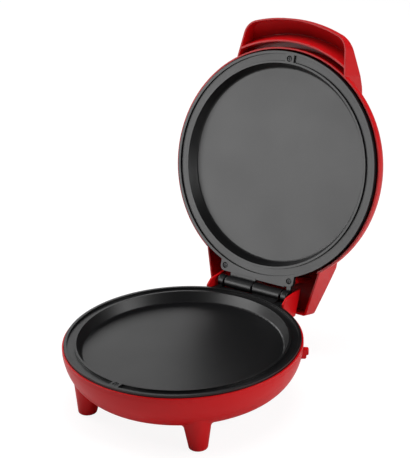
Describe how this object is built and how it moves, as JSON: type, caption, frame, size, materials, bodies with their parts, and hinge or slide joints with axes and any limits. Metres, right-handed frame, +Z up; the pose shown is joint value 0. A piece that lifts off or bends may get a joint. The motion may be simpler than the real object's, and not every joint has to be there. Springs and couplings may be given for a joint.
{
  "type": "electric pizza maker",
  "caption": "Countertop pizza maker: round non-stick cooking plates facing each other in a footed moulded bowl and a hinged lid with a front grip, standing open.",
  "frame": {"origin": "centre of the lower plate's dish floor", "axes": "+X along the hinge, to the right seen from the front; +Y to the hinge at the back; +Z up"},
  "size_m": [0.34, 0.5155, 0.4697],
  "materials": {
    "red_shell": "moulded plastic, satin gloss",
    "coated_casting": "die casting under a matt dark non-stick coating",
    "screw_steel": "bright plated",
    "spring_steel": "rolled strip",
    "element_sheath": "oxidised sheath",
    "bright_sheet": "bright pressed sheet",
    "dark_moulding": "heat resisting moulding",
    "pale_ceramic": "fired, unglazed",
    "black_rubber": "matt",
    "foot_rubber": "matt",
    "red_lens": "clear tinted, polished",
    "green_lens": "clear tinted, polished",
    "bulb_glass": "clear"
  },
  "bodies": {
    "base": {"base_housing": "red_shell", "foot_pads": "foot_rubber", "lower_plate": "coated_casting", "lower_plate_screws": "screw_steel", "lower_heating_element": "element_sheath", "lower_element_straps": "spring_steel", "lower_strap_screws": "screw_steel", "lower_reflector": "bright_sheet", "lower_reflector_screws": "screw_steel", "lower_thermostat": "dark_moulding", "lower_thermostat_strap": "spring_steel", "thermal_fuse": "bright_sheet", "fuse_clip": "spring_steel", "terminal_block": "pale_ceramic", "terminal_screw": "screw_steel", "cord_gland": "black_rubber", "hinge_pin": "screw_steel"},
    "lid": {"lid_cover": "red_shell", "upper_plate": "coated_casting", "upper_plate_screws": "screw_steel", "upper_heating_element": "element_sheath", "upper_element_straps": "spring_steel", "upper_strap_screws": "screw_steel", "upper_reflector": "bright_sheet", "upper_reflector_screws": "screw_steel", "upper_thermostat": "dark_moulding", "upper_thermostat_strap": "spring_steel", "power_lamp_lens": "red_lens", "ready_lamp_lens": "green_lens", "lamp_carrier": "dark_moulding", "carrier_screws": "screw_steel", "lamp_bulbs": "bulb_glass"}
  },
  "joints": [
    {"name": "lid_hinge", "type": "hinge", "parent": "base", "child": "lid", "pos_m": [0, 0.183, 0.015], "axis": [1, 0, 0], "range_deg": [0, 108]}
  ]
}
